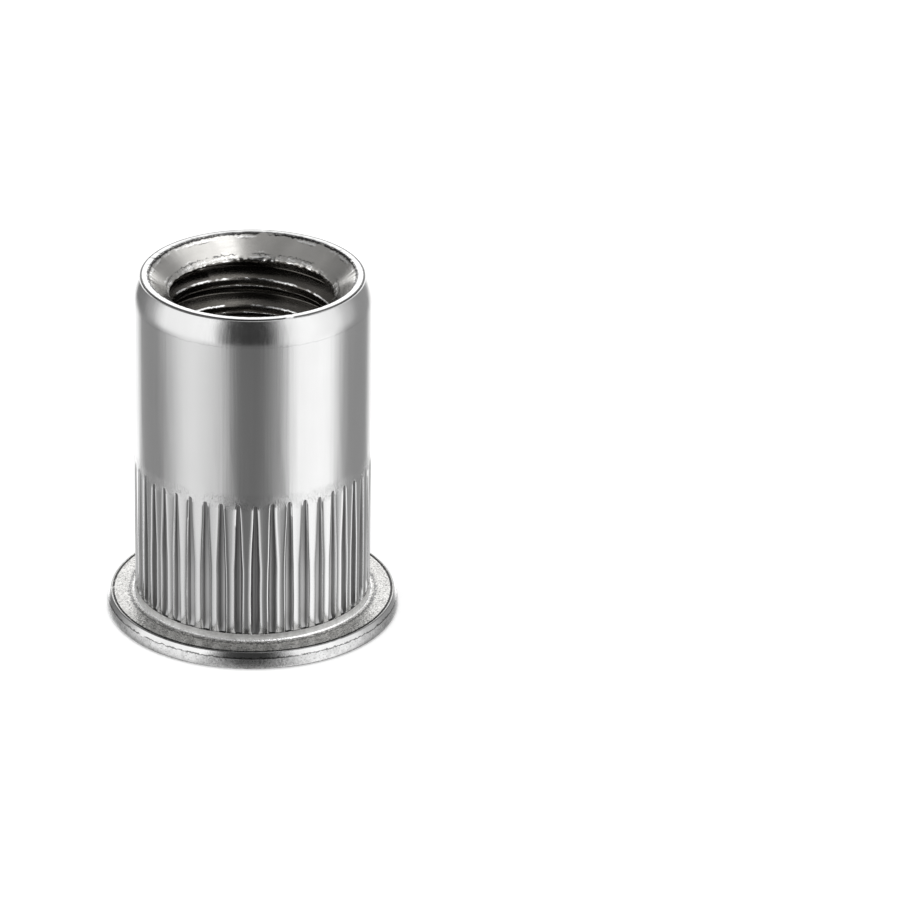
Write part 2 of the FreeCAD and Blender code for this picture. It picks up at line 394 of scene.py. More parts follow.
@dataclass
class RolledKnurl:
    """Straight knurl of rolled grooves that run out upwards. Sizes in millimetres.

    A groove takes sixteen columns of the turned form. From its middle to one side they are four on
    the floor and the flank, one at the groove's edge, three on the raised rim, and one halfway to
    the next groove.
    """

    count: int = 44
    columns: int = 16
    barrel_radius: float = 5.0
    base: float = 1.05
    tip: float = 7.1
    run_out: float = 3.0
    tip_half_width: float = 0.086
    full_half_width: float = 0.19
    least_half_width: float = 0.03
    floor_share: float = 0.5
    depth: float = 0.2
    tip_depth: float = 0.075
    depth_shares: tuple[float, ...] = (1.0, 0.98, 0.94, 0.48)
    entry_length: float = 0.035
    base_share: float = 0.45
    base_length: float = 0.2
    tip_rounding: float = 0.13
    tip_squareness: float = 2.6
    rim_height: float = 0.018
    rim_width: float = 0.036
    rim_shares: tuple[float, ...] = (1.0, 2.1, 3.4)
    rim_tail: float = 0.35
    rim_past_tip: float = 0.06
    rim_length: float = 0.3
    tip_scatter: float = 0.05
    scatter_length: float = 2.0
    width_scatter: tuple[float, float] = (0.94, 1.06)
    depth_scatter: tuple[float, float] = (0.93, 1.0)
    ripple_height: float = 0.022
    ripple_steps: tuple[float, float, float] = (7.3, 0.55, 2.0)
    slack: float = 1e-3
    wall_slack: float = 0.01
    seed: int = 44
    rows: list[float] = field(default_factory=lambda: [
        1.05, 1.075, 1.12, 1.3, 1.65, 2.0, 2.4, 2.75, 3.1, 3.45, 3.8, 4.1, 4.35, 4.6, 4.85, 5.1,
        5.35, 5.6, 5.8, 6.0, 6.2, 6.38, 6.54, 6.68, 6.78, 6.86, 6.92, 6.965, 7.0, 7.03, 7.055,
        7.075, 7.09, 7.1, 7.112, 7.13, 7.16, 7.21, 7.3])

    def add_rows(self, nut: bpy.types.Object) -> None:
        """Divide the shank's lower strip so that the grooves can be pressed into it.

        Args:
            nut: the tapped nut.
        """
        edit(nut)
        low, high = self.rows[0], self.rows[-1]
        wall = self.barrel_radius - self.wall_slack

        def on_strip(edge: bmesh.types.BMEdge) -> bool:
            """Tell if an edge runs up the whole strip.

            Args:
                edge: the edge.

            Returns:
                True for an edge of the strip.
            """
            heights = sorted(vertex.co.z for vertex in edge.verts)
            outside = all(vertex.co.xy.length > wall for vertex in edge.verts)
            return (outside and abs(heights[0] - low) < self.slack
                    and abs(heights[1] - high) < self.slack)

        select_edges(nut, on_strip)
        bpy.ops.mesh.subdivide(number_cuts=len(self.rows) - 2)
        leave_edit_mode()

    def half_width(self, below: float) -> float:
        """Return a groove's half width.

        Args:
            below: distance below the groove's tip.

        Returns:
            The half width there.
        """
        share = min(max(below / self.run_out, 0.0), 1.0)
        width = self.tip_half_width + (self.full_half_width - self.tip_half_width) * share
        if below < self.tip_rounding:
            rise = max(below, 0.0) / self.tip_rounding
            width *= (1 - (1 - rise) ** self.tip_squareness) ** (1 / self.tip_squareness)
        return max(width, self.least_half_width)

    def groove_depth(self, below: float) -> float:
        """Return a groove's depth.

        Args:
            below: distance below the groove's tip.

        Returns:
            The depth there.
        """
        if below <= 0:
            return 0.0
        entry = self.tip_depth * (1 - math.exp(-below / self.entry_length))
        return entry + (self.depth - self.tip_depth) * min(below / self.run_out, 1.0)

    def spread(self, half: float, half_pitch: float) -> tuple[float, ...]:
        """Return how far each column of a groove lies from the groove's middle.

        Args:
            half: the groove's half width.
            half_pitch: half the distance between two grooves.

        Returns:
            The distances round the barrel, from the middle outwards.
        """
        floor = half * self.floor_share
        rim = (half + self.rim_width * share for share in self.rim_shares)
        return (0.0, floor * 0.5, floor, (floor + half) / 2, half, *rim, half_pitch)

    def lifts(self, deep: float, rim: float) -> tuple[float, ...]:
        """Return how far each column of a groove is lifted off the barrel.

        Args:
            deep: the groove's depth.
            rim: the height of its rim.

        Returns:
            The lifts, from the middle outwards.
        """
        floor = (-deep * share for share in self.depth_shares)
        return (*floor, 0.0, rim, rim * self.rim_tail, 0.0, 0.0)

    def roll(self, nut: bpy.types.Object) -> None:
        """Press every groove into the shank, each a little different from the next.

        Args:
            nut: the tapped nut.
        """
        self.add_rows(nut)
        chance = random.Random(self.seed)
        pitch = math.tau / self.count
        half_pitch = pitch * self.barrel_radius / 2
        tips = [chance.uniform(-self.tip_scatter, self.tip_scatter) for _ in range(self.count)]
        widths = [chance.uniform(*self.width_scatter) for _ in range(self.count)]
        depths = [chance.uniform(*self.depth_scatter) for _ in range(self.count)]
        low, high = self.rows[0], self.rows[-1]
        last_row = len(self.rows) - 1
        spacing = (high - low) / last_row
        apart, along, side = self.ripple_steps
        for vertex in nut.data.vertices:
            place = vertex.co
            on_barrel = abs(place.xy.length - self.barrel_radius) <= self.slack
            if not on_barrel or not low - self.slack < place.z < high + self.slack:
                continue
            row = round((place.z - low) / spacing)
            angle = math.atan2(place.y, place.x)
            groove = round(angle / pitch)
            column = round((angle - groove * pitch) / (pitch / self.columns))
            index = groove % self.count
            height = self.rows[row]
            if row not in (0, last_row):
                inner = 1 - abs(column) / (self.columns / 2)
                fade = min(max((height - self.base) / self.scatter_length, 0.0), 1.0)
                height += tips[index] * fade * inner
            below = self.tip - height + tips[index]
            wander = noise.noise(Vector((index * apart, height * along,
                                         math.copysign(side, column))))
            half = self.half_width(below) * widths[index] + self.ripple_height * wander
            deep = rim = 0.0
            if row:
                deep = self.groove_depth(below) * depths[index]
                foot = min((height - self.base) / self.base_length, 1.0)
                deep *= self.base_share + (1 - self.base_share) * foot
                shown = min(max((below + self.rim_past_tip) / self.rim_length, 0.0), 1.0)
                rim = self.rim_height * shown
            across = math.copysign(self.spread(half, half_pitch)[abs(column)], column)
            turn = groove * pitch + across / self.barrel_radius
            radius = self.barrel_radius + self.lifts(deep, rim)[abs(column)]
            vertex.co = (radius * math.cos(turn), radius * math.sin(turn), height)


# Shader nodes


NOISE_SPAN = (0.3, 0.7)
RING_SHAKE = 4.0
RING_EDGE = (1.25, 0.75)
PATCH_LIMIT = 0.28
PATCH_SHARE = 0.4
PATCH_SHARPNESS = 12.0


class Tree:
    """Adds and joins the nodes of one node tree."""

    def __init__(self, tree: bpy.types.NodeTree) -> None:
        """Start on a node tree, emptied."""
        self.tree = tree
        tree.nodes.clear()

    def add(self, kind: str, inputs: dict[str | int, object] | None = None,
            **settings: object) -> bpy.types.Node:
        """Add a node.

        Args:
            kind: the node's type, without its ShaderNode prefix.
            inputs: for each input, a value or the output that feeds it.
            settings: properties of the node.

        Returns:
            The new node.
        """
        node = self.tree.nodes.new(kind if kind.startswith("Node") else f"ShaderNode{kind}")
        for name, value in settings.items():
            setattr(node, name, value)
        for name, value in (inputs or {}).items():
            if isinstance(value, bpy.types.NodeSocket):
                self.tree.links.new(value, node.inputs[name])
            else:
                node.inputs[name].default_value = value
        return node

    def group(self, name: str, inputs: dict[str | int, object] | None = None) -> bpy.types.Node:
        """Add a node group by its name, with its inputs."""
        return self.add("Group", inputs, node_tree=bpy.data.node_groups[name])

    def math(self, operation: str, *values: object, clamp: bool = False) -> bpy.types.NodeSocket:
        """Return the result of a Math node on values or outputs."""
        node = self.add("Math", dict(enumerate(values)), operation=operation, use_clamp=clamp)
        return node.outputs[0]

    def blend(self, amount: object, low: object, high: object,
              mode: str = "MIX") -> bpy.types.NodeSocket:
        """Return two colours mixed by an amount."""
        node = self.add("Mix", {0: amount, 6: low, 7: high}, data_type="RGBA", blend_type=mode)
        return node.outputs[2]

    def span(self, value: object, low: float, high: float, first: float = 0.0,
             last: float = 1.0) -> bpy.types.NodeSocket:
        """Return a value carried smoothly from one range to another."""
        node = self.add("MapRange", {"Value": value, "From Min": low, "From Max": high,
                                     "To Min": first, "To Max": last},
                        interpolation_type="SMOOTHSTEP")
        return node.outputs[0]


def start_group(name: str, inputs: dict[str, float],
                outputs: tuple[str, ...]) -> tuple[Tree, bpy.types.Node, bpy.types.Node]:
    """Start a shader node group.

    Args:
        name: the group's name.
        inputs: its inputs and their usual values, where a name in brackets is a vector.
        outputs: its outputs, all values unless the name is in brackets.

    Returns:
        The tree, its input node and its output node.
    """
    group = bpy.data.node_groups.new(name, "ShaderNodeTree")
    for label, value in inputs.items():
        vector = label.startswith("(")
        kind = "NodeSocketVector" if vector else "NodeSocketFloat"
        socket = group.interface.new_socket(label.strip("()"), in_out="INPUT", socket_type=kind)
        if not vector:
            socket.default_value = value
    for label in outputs:
        kind = "NodeSocketVector" if label.startswith("(") else "NodeSocketFloat"
        group.interface.new_socket(label.strip("()"), in_out="OUTPUT", socket_type=kind)
    tree = Tree(group)
    return tree, tree.add("NodeGroupInput"), tree.add("NodeGroupOutput")


def group_places() -> bpy.types.NodeTree:
    """Build the group that measures where a point of the nut is, in millimetres.

    Returns:
        The group, with outputs Point, Radius and Height.
    """
    tree, _, end = start_group("nut_places", {}, ("(Point)", "Radius", "Height"))
    place = tree.add("TexCoord").outputs["Object"]
    point = tree.add("VectorMath", {0: place, "Scale": 1 / MM}, operation="SCALE").outputs[0]
    parts = tree.add("SeparateXYZ", {0: point})
    flat = tree.add("CombineXYZ", {0: parts.outputs[0], 1: parts.outputs[1]}).outputs[0]
    radius = tree.add("VectorMath", {0: flat}, operation="LENGTH").outputs["Value"]
    tree.tree.links.new(point, end.inputs["Point"])
    tree.tree.links.new(radius, end.inputs["Radius"])
    tree.tree.links.new(parts.outputs[2], end.inputs["Height"])
    return tree.tree


def group_grain() -> bpy.types.NodeTree:
    """Build the group for the crystalline grain that forming leaves on the steel.

    Returns:
        The group, with inputs Point, Size and Patch, and outputs Grain and Tone.
    """
    tree, start, end = start_group("steel_grain", {"(Point)": 0, "Size": 0.08, "Patch": 1.5},
                                   ("Grain", "Tone"))
    fine = tree.math("DIVIDE", 1.0, start.outputs["Size"])
    coarse = tree.math("DIVIDE", 1.0, start.outputs["Patch"])
    grain = tree.add("TexNoise", {"Vector": start.outputs["Point"], "Scale": fine, "Detail": 3.0,
                                  "Roughness": 0.6}).outputs["Fac"]
    tone = tree.add("TexNoise", {"Vector": start.outputs["Point"], "Scale": coarse, "Detail": 4.0,
                                 "Roughness": 0.55}).outputs["Fac"]
    tree.tree.links.new(grain, end.inputs["Grain"])
    tree.tree.links.new(tree.span(tone, *NOISE_SPAN), end.inputs["Tone"])
    return tree.tree


def group_marks() -> bpy.types.NodeTree:
    """Build the group for marks that a tool leaves as the work turns or is drawn.

    Returns:
        The group, with inputs Point, Across, Spacing and Waver, and the output Mark.
    """
    tree, start, end = start_group(
        "tool_marks", {"(Point)": 0, "Across": 0, "Spacing": 0.05, "Waver": 0.15}, ("Mark",))
    parts = tree.add("SeparateXYZ", {0: start.outputs["Point"]})
    wide = [tree.math("MULTIPLY", parts.outputs[axis], start.outputs["Waver"]) for axis in (0, 1)]
    across = tree.math("DIVIDE", start.outputs["Across"], start.outputs["Spacing"])
    vector = tree.add("CombineXYZ", {0: wide[0], 1: wide[1], 2: across}).outputs[0]
    mark = tree.add("TexNoise", {"Vector": vector, "Scale": 1.0, "Detail": 3.0,
                                 "Roughness": 0.65}).outputs["Fac"]
    tree.tree.links.new(mark, end.inputs["Mark"])
    return tree.tree


def group_lines() -> bpy.types.NodeTree:
    """Build the group for fine lines that run along the nut's axis.

    Returns:
        The group, with inputs Point, Spacing and Length, and the output Line.
    """
    tree, start, end = start_group(
        "drawn_lines", {"(Point)": 0, "Spacing": 0.06, "Length": 6.0}, ("Line",))
    parts = tree.add("SeparateXYZ", {0: start.outputs["Point"]})
    fine = [tree.math("DIVIDE", parts.outputs[axis], start.outputs["Spacing"]) for axis in (0, 1)]
    along = tree.math("DIVIDE", parts.outputs[2], start.outputs["Length"])
    vector = tree.add("CombineXYZ", {0: fine[0], 1: fine[1], 2: along}).outputs[0]
    line = tree.add("TexNoise", {"Vector": vector, "Scale": 1.0, "Detail": 2.0}).outputs["Fac"]
    tree.tree.links.new(line, end.inputs["Line"])
    return tree.tree


def group_ring_line() -> bpy.types.NodeTree:
    """Build the group for a thin ragged ring round the nut.

    Returns:
        The group, with inputs Point, Value, Place, Half Width, Ragged and Broken, and the output
        Mask.
    """
    tree, start, end = start_group(
        "ring_line", {"(Point)": 0, "Value": 0, "Place": 0, "Half Width": 0.03, "Ragged": 0.02,
                      "Broken": 0}, ("Mask",))
    shake = tree.add("TexNoise", {"Vector": start.outputs["Point"], "Scale": 7.0, "Detail": 3.0,
                                  "Roughness": 0.7}).outputs["Fac"]
    shake = tree.math("MULTIPLY", tree.math("SUBTRACT", shake, 0.5), start.outputs["Ragged"])
    moved = tree.math("ADD", start.outputs["Value"], tree.math("MULTIPLY", shake, RING_SHAKE))
    away = tree.math("ABSOLUTE", tree.math("SUBTRACT", moved, start.outputs["Place"]))
    share = tree.math("DIVIDE", away, start.outputs["Half Width"])
    line = tree.span(share, *RING_EDGE)
    patch = tree.add("TexNoise", {"Vector": start.outputs["Point"], "Scale": 1.1, "Detail": 2.0,
                                  "Roughness": 0.6}).outputs["Fac"]
    limit = tree.math("MULTIPLY_ADD", start.outputs["Broken"], PATCH_SHARE, PATCH_LIMIT)
    kept = tree.math("MULTIPLY", tree.math("SUBTRACT", patch, limit), PATCH_SHARPNESS, clamp=True)
    tree.tree.links.new(tree.math("MULTIPLY", line, kept), end.inputs["Mask"])
    return tree.tree


# Finishes of the steel


STEEL: Colour = (0.61, 0.61, 0.61)
# Near black that the knurl's grooves are blended towards: painted shade in the grooves.
GROOVE_PAINTED_SHADE: Colour = (0.05, 0.05, 0.05)
CRUSHED_GREY: Colour = (0.2, 0.2, 0.2)


class Lay(Enum):
    """Way that the fine marks of a surface run."""

    ALONG = "along the axis"
    ROUND_WALL = "round a wall, one above the other"
    ROUND_FACE = "round a face, one outside the other"


class Measure(Enum):
    """Size that says where a ring line of the surface lies."""

    RADIUS = "Radius"
    HEIGHT = "Height"


@dataclass(frozen=True)
class RingLine:
    """Thin ragged ring of another tone: mostly painted shade along edges and in creases or a painted
    highlight along edges and crests, sometimes a tool mark. In millimetres.

    Broken is the share of the ring that is left out, in patches.
    """

    measure: Measure
    place: float
    half_width: float
    ragged: float
    tone: float
    broken: float = 0.0


@dataclass(frozen=True)
class SteelFinish:
    """One finish of the nut's stainless steel. Lengths in millimetres, colours linear.

    A pair holds the ends of a range of heights, radii, noise or shares. The patches of specks have
    the noise at which they start and are full, and the share that stays between them.
    """

    name: str
    colour: Colour
    second_colour: Colour
    roughness: float
    roughness_spread: float
    lay: Lay
    mark_spacing: float
    mark_height: float
    grain_size: float
    grain_height: float
    patch_size: float = 1.5
    mark_share: float = 0.6
    groove_shade: float = 0.0
    groove_start: Span = (7.6, 7.3)
    groove_wall: Span = (4.98, 4.93)
    groove_rise: Span = (3.0, 6.6)
    groove_shares: Span = (0.85, 1.3)
    groove_roughening: float = 0.45
    speckle: float = 0.0
    speckle_size: float = 0.08
    pit_span: float = 0.4
    pit_edge: float = 0.1
    pit_shade: float = 0.4
    rough_band: Span | None = None
    band_fades: Span = (0.2, 0.3)
    band_relief: float = 0.008
    speck_span: Span = (0.5, 0.62)
    speck_shade: float = 0.5
    speck_patches: tuple[float, float, float] = (0.2, 0.75, 0.2)
    lines: tuple[RingLine, ...] = ()

    def dress(self) -> bpy.types.Material:
        """Build the material.

        Returns:
            The material of this finish.
        """
        material = bpy.data.materials.new(self.name)
        material.use_nodes = True
        tree = Tree(material.node_tree)
        places = tree.group("nut_places")
        point = places.outputs["Point"]
        grain = tree.group("steel_grain", {"Point": point, "Size": self.grain_size,
                                           "Patch": self.patch_size})
        mark = self.lay_marks(tree, places)
        grooves = self.find_grooves(tree, places) if self.groove_shade else None
        band = self.find_band(tree, places) if self.rough_band else None

        colour = tree.blend(grain.outputs["Tone"], (*self.colour, 1), (*self.second_colour, 1))
        # Painted shade: the knurl's grooves are darkened towards near black.
        if grooves:
            colour = tree.blend(grooves, colour, (*GROOVE_PAINTED_SHADE, 1))
        if self.speckle:
            colour = self.add_pits(tree, point, colour)
        for line in self.lines:
            ring = tree.group("ring_line", {
                "Point": point, "Value": places.outputs[line.measure.value], "Place": line.place,
                "Half Width": line.half_width, "Ragged": line.ragged, "Broken": line.broken})
            colour = tree.blend(ring.outputs["Mask"], colour, (*(line.tone,) * 3, 1))
        if band:
            specks = tree.span(grain.outputs["Grain"], *self.speck_span, 0.0, self.speck_shade)
            patches = tree.span(grain.outputs["Tone"], *self.speck_patches)
            shown = tree.math("MULTIPLY", band, tree.math("MULTIPLY", specks, patches))
            colour = tree.blend(shown, colour, (*CRUSHED_GREY, 1))

        half = self.roughness_spread / 2
        mixed = tree.math("ADD", tree.math("MULTIPLY", mark, self.mark_share),
                          tree.math("MULTIPLY", grain.outputs["Grain"], 1 - self.mark_share))
        rough = tree.span(mixed, *NOISE_SPAN, self.roughness - half, self.roughness + half)
        if grooves:
            dull = tree.math("MULTIPLY", grooves, self.groove_roughening)
            rough = tree.math("ADD", rough, dull)

        marks = tree.math("MULTIPLY", mark, self.mark_height * MM)
        grains = tree.math("MULTIPLY", grain.outputs["Grain"], self.grain_height * MM)
        height = tree.math("ADD", marks, grains)
        if band:
            uneven = tree.math("SUBTRACT", grain.outputs["Grain"], 0.5)
            relief = tree.math("MULTIPLY", band, self.band_relief * MM)
            height = tree.math("ADD", height, tree.math("MULTIPLY", relief, uneven))
        bump = tree.add("Bump", {"Strength": 1.0, "Distance": 1.0, "Height": height})
        steel = tree.add("BsdfPrincipled", {"Base Color": colour, "Roughness": rough,
                                            "Normal": bump.outputs[0], "Metallic": 1.0})
        tree.add("OutputMaterial", {"Surface": steel.outputs[0]})
        return material

    def find_grooves(self, tree: Tree, places: bpy.types.Node) -> bpy.types.NodeSocket:
        """Paint shade into the knurl's grooves, darkest near their tips.

        Args:
            tree: the material's node tree.
            places: its node that measures places on the nut.

        Returns:
            The output that holds how much the grooves are shaded.
        """
        height = places.outputs["Height"]
        below = tree.span(height, *self.groove_start, 0.0, self.groove_shade)
        inside = tree.span(places.outputs["Radius"], *self.groove_wall)
        tips = tree.span(height, *self.groove_rise, *self.groove_shares)
        return tree.math("MULTIPLY", tree.math("MULTIPLY", below, inside), tips)

    def find_band(self, tree: Tree, places: bpy.types.Node) -> bpy.types.NodeSocket:
        """Find the crushed band, which the knurling wheel leaves where it starts.

        Args:
            tree: the material's node tree.
            places: its node that measures places on the nut.

        Returns:
            The output that holds the band.
        """
        low, high = self.rough_band
        fade_in, fade_out = self.band_fades
        rise = tree.span(places.outputs["Height"], low - fade_in, low)
        fall = tree.span(places.outputs["Height"], high + fade_out, high)
        return tree.math("MULTIPLY", rise, fall)

    def add_pits(self, tree: Tree, point: bpy.types.NodeSocket,
                 colour: bpy.types.NodeSocket) -> bpy.types.NodeSocket:
        """Darken the colour in small pits.

        Args:
            tree: the material's node tree.
            point: the output that holds the point on the nut.
            colour: the output that holds the colour.

        Returns:
            The output that holds the pitted colour.
        """
        pits = tree.group("steel_grain", {"Point": point, "Size": self.speckle_size})
        limit = 0.5 + (0.5 - self.speckle) * self.pit_span
        pit = tree.span(pits.outputs["Grain"], limit, limit + self.pit_edge)
        dark = (*(self.pit_shade * part for part in self.colour), 1)
        return tree.blend(pit, colour, dark)

    def lay_marks(self, tree: Tree, places: bpy.types.Node) -> bpy.types.NodeSocket:
        """Add the marks that run the finish's way.

        Args:
            tree: the material's node tree.
            places: its node that measures places on the nut.

        Returns:
            The output that holds the marks.
        """
        point = places.outputs["Point"]
        if self.lay is Lay.ALONG:
            lines = tree.group("drawn_lines", {"Point": point, "Spacing": self.mark_spacing})
            return lines.outputs["Line"]
        across = "Height" if self.lay is Lay.ROUND_WALL else "Radius"
        marks = tree.group("tool_marks", {"Point": point, "Across": places.outputs[across],
                                          "Spacing": self.mark_spacing})
        return marks.outputs["Mark"]


class Zone(Enum):
    """Part of the nut's surface that one tool leaves with one finish."""

    BARREL = SteelFinish(
        name="drawn_barrel_steel", colour=STEEL, second_colour=(0.6, 0.6, 0.6), roughness=0.19,
        roughness_spread=0.09, lay=Lay.ALONG, mark_spacing=0.13, mark_height=0.0022,
        grain_size=0.05, grain_height=0.0005, groove_shade=0.52, rough_band=(6.9, 7.35),
        lines=(
            # Painted shade: a dark line where the grooves end above the neck.
            RingLine(Measure.HEIGHT, 1.062, half_width=0.02, ragged=0.01, tone=0.1, broken=0.3),
            RingLine(Measure.HEIGHT, 14.25, half_width=0.02, ragged=0.06, tone=0.54, broken=0.1)))
    LIP = SteelFinish(
        name="bright_lip_steel", colour=(0.68, 0.68, 0.68), second_colour=(0.64, 0.64, 0.64),
        roughness=0.18, roughness_spread=0.08, lay=Lay.ROUND_FACE, mark_spacing=0.03,
        mark_height=0.0006, grain_size=0.04, grain_height=0.0006,
        lines=(
            # Painted shade: dark lines along the lip's outer and inner edges.
            RingLine(Measure.RADIUS, 4.67, half_width=0.05, ragged=0.006, tone=0.08),
            RingLine(Measure.RADIUS, 4.39, half_width=0.02, ragged=0.03, tone=0.06)))
    CONE = SteelFinish(
        name="turned_cone_steel", colour=(0.6, 0.59, 0.57), second_colour=(0.54, 0.53, 0.51),
        roughness=0.2, roughness_spread=0.12, lay=Lay.ROUND_FACE, mark_spacing=0.04,
        mark_height=0.0006, grain_size=0.06, grain_height=0.0008,
        lines=(
            # Painted shade and painted highlights: the dark rings at 4.34, 4.17 and 3.62 mm are
            # painted shade, the bright rings at 4.24, 3.7 and 3.52 mm are painted highlights.
            RingLine(Measure.RADIUS, 4.34, half_width=0.035, ragged=0.04, tone=0.05, broken=0.1),
            RingLine(Measure.RADIUS, 4.24, half_width=0.025, ragged=0.05, tone=0.95, broken=0.5),
            RingLine(Measure.RADIUS, 4.17, half_width=0.012, ragged=0.05, tone=0.15, broken=0.7),
            RingLine(Measure.RADIUS, 3.7, half_width=0.012, ragged=0.06, tone=0.95, broken=0.7),
            RingLine(Measure.RADIUS, 3.62, half_width=0.018, ragged=0.06, tone=0.12, broken=0.35),
            RingLine(Measure.RADIUS, 3.52, half_width=0.022, ragged=0.06, tone=0.95, broken=0.3)))
    THREAD = SteelFinish(
        # Painted shade: the thread's dark colour stands for the shade inside the bore; its ring line
        # is a painted highlight on the crests.
        name="cut_thread_steel", colour=(0.16, 0.15, 0.14), second_colour=(0.1, 0.095, 0.085),
        roughness=0.24, roughness_spread=0.16, lay=Lay.ROUND_WALL, mark_spacing=0.05,
        mark_height=0.002, grain_size=0.07, grain_height=0.004,
        lines=(
            RingLine(Measure.RADIUS, 3.44, half_width=0.02, ragged=0.02, tone=0.95,
                     broken=0.35),))
    NECK = SteelFinish(
        name="pressed_neck_steel", colour=(0.82, 0.82, 0.81), second_colour=(0.68, 0.675, 0.665),
        roughness=0.72, roughness_spread=0.16, lay=Lay.ROUND_WALL, mark_spacing=0.05,
        mark_height=0.0008, grain_size=0.08, grain_height=0.01, patch_size=0.3)
    FLANGE_TOP = SteelFinish(
        name="pressed_flange_steel", colour=(0.66, 0.655, 0.64), second_colour=(0.58, 0.575, 0.56),
        roughness=0.26, roughness_spread=0.16, lay=Lay.ROUND_FACE, mark_spacing=0.08,
        mark_height=0.0006, grain_size=0.1, grain_height=0.026, patch_size=0.4, speckle=0.44,
        speckle_size=0.09,
        lines=(
            # Painted shade at 5.25 mm round the neck's foot and at 5.953 mm in the crease by the
            # bead; a painted highlight at 5.08 mm on the neck fillet.
            RingLine(Measure.RADIUS, 5.25, half_width=0.055, ragged=0.13, tone=0.22),
            RingLine(Measure.RADIUS, 5.08, half_width=0.035, ragged=0.006, tone=1.0),
            RingLine(Measure.RADIUS, 5.953, half_width=0.045, ragged=0.012, tone=0.03)))
    FLANGE_BEAD = SteelFinish(
        name="rolled_bead_steel", colour=(0.66, 0.66, 0.66), second_colour=(0.58, 0.58, 0.58),
        roughness=0.13, roughness_spread=0.1, lay=Lay.ROUND_WALL, mark_spacing=0.08,
        mark_height=0.0006, grain_size=0.07, grain_height=0.003,
        lines=(
            # Painted shade: dark lines at the foot and the top of the bead.
            RingLine(Measure.HEIGHT, 0.52, half_width=0.028, ragged=0.06, tone=0.16, broken=0.15),
            RingLine(Measure.HEIGHT, 0.742, half_width=0.018, ragged=0.006, tone=0.3)))
    FLANGE_WALL = SteelFinish(
        name="sheared_wall_steel", colour=(0.66, 0.66, 0.66), second_colour=(0.5, 0.5, 0.5),
        roughness=0.3, roughness_spread=0.14, lay=Lay.ROUND_WALL, mark_spacing=0.08,
        mark_height=0.001, grain_size=0.09, grain_height=0.012, patch_size=0.25, speckle=0.34,
        speckle_size=0.06,
        lines=(
            # Painted shadow: a dark line where the flange meets the floor.
            RingLine(Measure.HEIGHT, 0.02, half_width=0.06, ragged=0.02, tone=0.12),))
    FLANGE_FACE = SteelFinish(
        name="satin_face_steel", colour=(0.52, 0.52, 0.52), second_colour=(0.46, 0.46, 0.46),
        roughness=0.3, roughness_spread=0.14, lay=Lay.ROUND_FACE, mark_spacing=0.05,
        mark_height=0.0008, grain_size=0.12, grain_height=0.008, patch_size=0.9, speckle=0.25,
        speckle_size=0.06,
        lines=(
            # Painted shade at 6.12 mm by the outer edge and at 4.86 mm by the bore's mouth; a
            # painted highlight at 4.78 mm on the mouth's rounding.
            RingLine(Measure.RADIUS, 6.12, half_width=0.02, ragged=0.02, tone=0.1, broken=0.4),
            RingLine(Measure.RADIUS, 4.86, half_width=0.03, ragged=0.018, tone=0.08),
            RingLine(Measure.RADIUS, 4.78, half_width=0.025, ragged=0.02, tone=0.9, broken=0.3)))
    POCKET = SteelFinish(
        name="bored_pocket_steel", colour=(0.34, 0.325, 0.3), second_colour=(0.27, 0.255, 0.235),
        roughness=0.3, roughness_spread=0.16, lay=Lay.ROUND_WALL, mark_spacing=0.05,
        mark_height=0.002, grain_size=0.08, grain_height=0.004,
        lines=(
            # Painted shade: a dark ring on the wall above the mouth's rounding; a painted highlight
            # at 3.74 mm on the edge of the lead-in.
            RingLine(Measure.HEIGHT, 0.42, half_width=0.06, ragged=0.02, tone=0.1),
            RingLine(Measure.RADIUS, 3.74, half_width=0.03, ragged=0.03, tone=0.85, broken=0.4)))


# The nut


@dataclass(frozen=True)
class RaggedEdges:
    """How ragged the cut edges at the threaded end are.

    Lengths in millimetres, angles in degrees round the axis from +X. The lip's inner edge has a burr
    on one side and nicks on the other.
    """

    seed: int = 8
    fineness: float = 5.0
    lip_depth: float = 0.06
    lip_reach: float = 0.04
    burr_azimuth: float = 16.0
    burr_half_width: float = 18.0
    nick_azimuth: float = 146.0
    burr: float = 0.035
    nick: float = 0.045
    lip: float = 0.01
    start_radius: float = 3.62
    start_reach: float = 0.06
    thread_start: float = 0.035
    crest_radius: float = 3.43
    crest_base: float = 0.1
    crest: float = 0.012

    def amount(self, place: Vector, form: TurnedForm) -> float:
        """Return how far a vertex may be moved.

        Args:
            place: the vertex's place.
            form: the turned form.

        Returns:
            The distance, or 0 away from the cut edges.
        """
        radius = place.xy.length
        on_lip = abs(radius - form.countersink_radius) < self.lip_reach
        if place.z > form.length - self.lip_depth and on_lip:
            azimuth = math.degrees(math.atan2(place.y, place.x))
            if abs(azimuth - self.burr_azimuth) < self.burr_half_width:
                return self.burr
            return self.nick if abs(azimuth) > self.nick_azimuth else self.lip
        cone_base = form.length - form.countersink_depth
        if radius < self.start_radius and abs(place.z - cone_base) < self.start_reach:
            return self.thread_start
        if radius < self.crest_radius and place.z > form.counterbore_depth + self.crest_base:
            return self.crest
        return 0.0

    def roughen(self, piece: bpy.types.Object, form: TurnedForm) -> None:
        """Move the vertices of the cut edges a little.

        Args:
            piece: the nut, in millimetres.
            form: the turned form.
        """
        noise.seed_set(self.seed)
        for vertex in piece.data.vertices:
            place = vertex.co
            amount = self.amount(place, form)
            if amount:
                moved = place + noise.noise_vector(place * self.fineness) * amount
                moved.z = min(moved.z, form.length)
                vertex.co = moved


